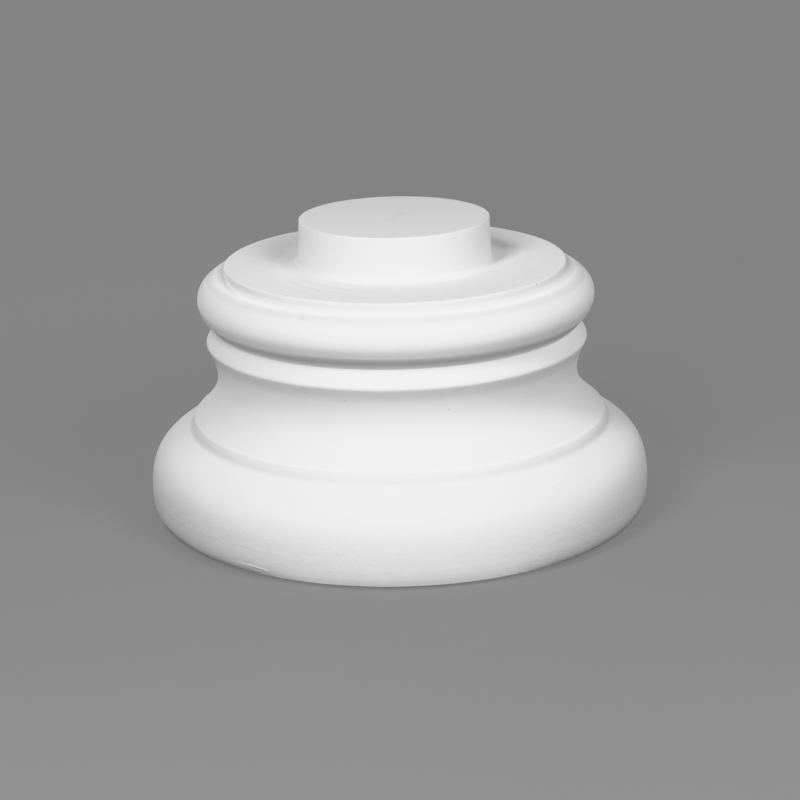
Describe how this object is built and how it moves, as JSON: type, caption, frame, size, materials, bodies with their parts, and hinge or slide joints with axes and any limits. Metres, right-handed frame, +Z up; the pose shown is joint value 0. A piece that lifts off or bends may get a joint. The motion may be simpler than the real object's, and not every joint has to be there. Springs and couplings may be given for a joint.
{
  "type": "column base",
  "caption": "Round moulded column base: broad lower torus, hollow scotia, sloping band, smaller upper torus, and a short round spigot rising from a level seat for the shaft.",
  "frame": {"origin": "centre of the flat underside", "axes": "+Z up along the axis of revolution; +X and +Y are level, and the form is round, so they have no special side; the picture looks along +Y"},
  "size_m": [0.34, 0.34, 0.2012],
  "materials": {
    "primed_moulding": "matte neutral white primer over moulded foam, with a very fine orange peel"
  },
  "bodies": {
    "root": {"column_base": "primed_moulding"}
  },
  "joints": []
}
